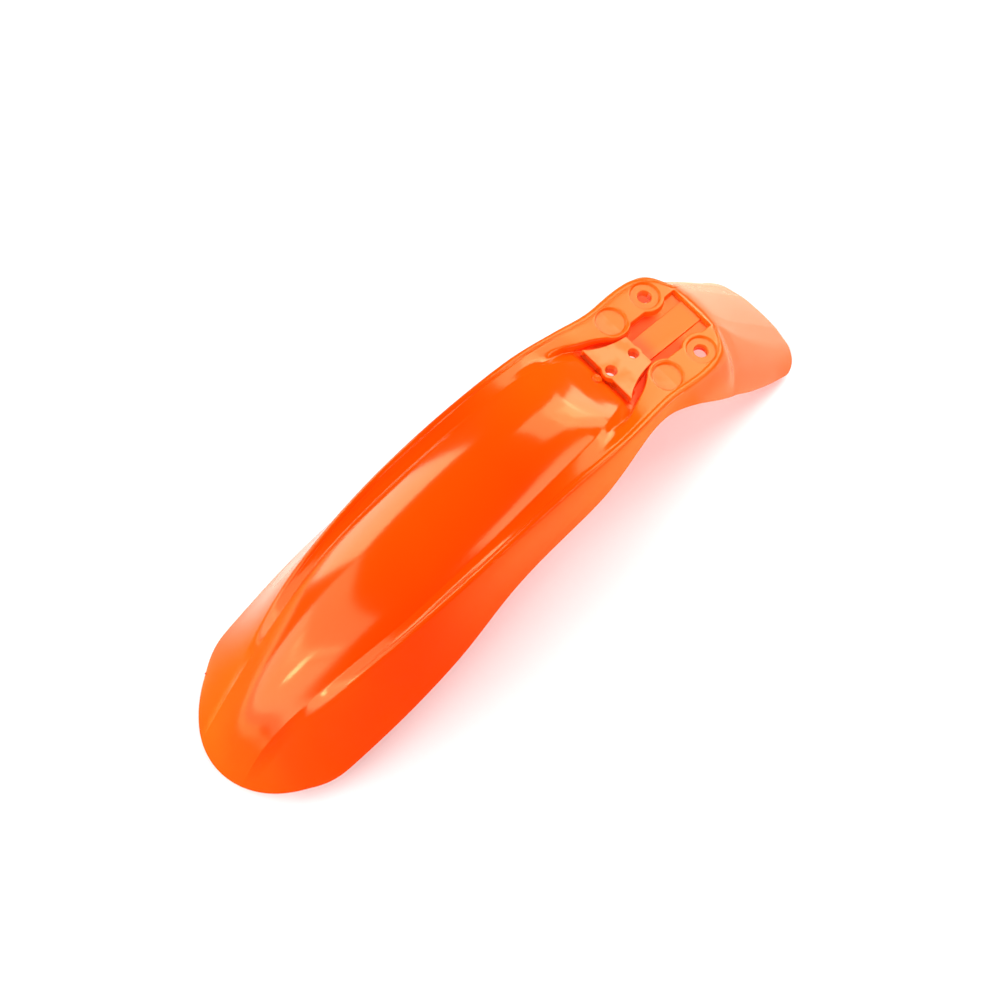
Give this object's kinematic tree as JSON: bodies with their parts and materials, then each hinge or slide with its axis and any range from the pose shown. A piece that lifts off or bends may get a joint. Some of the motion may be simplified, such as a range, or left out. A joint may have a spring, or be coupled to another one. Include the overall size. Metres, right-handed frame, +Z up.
{
  "type": "motorcycle front mudguard",
  "caption": "Front mudguard of a small off-road motorcycle: domed blade with side skirts, flat mounting deck with round bolt seats and a bent-down tail.",
  "frame": {"origin": "on the ground plane under the middle of the overall length and width", "axes": "+Z up, -Y towards the front tip, +X to the right as seen from above with the tip pointing down the page; the part is symmetric about X = 0 and rests on its front tip and on the two rear corners of its tail"},
  "size_m": [0.151, 0.598, 0.1757],
  "materials": {
    "shell": "gloss"
  },
  "bodies": {
    "root": {"mudguard": "shell"}
  },
  "joints": []
}
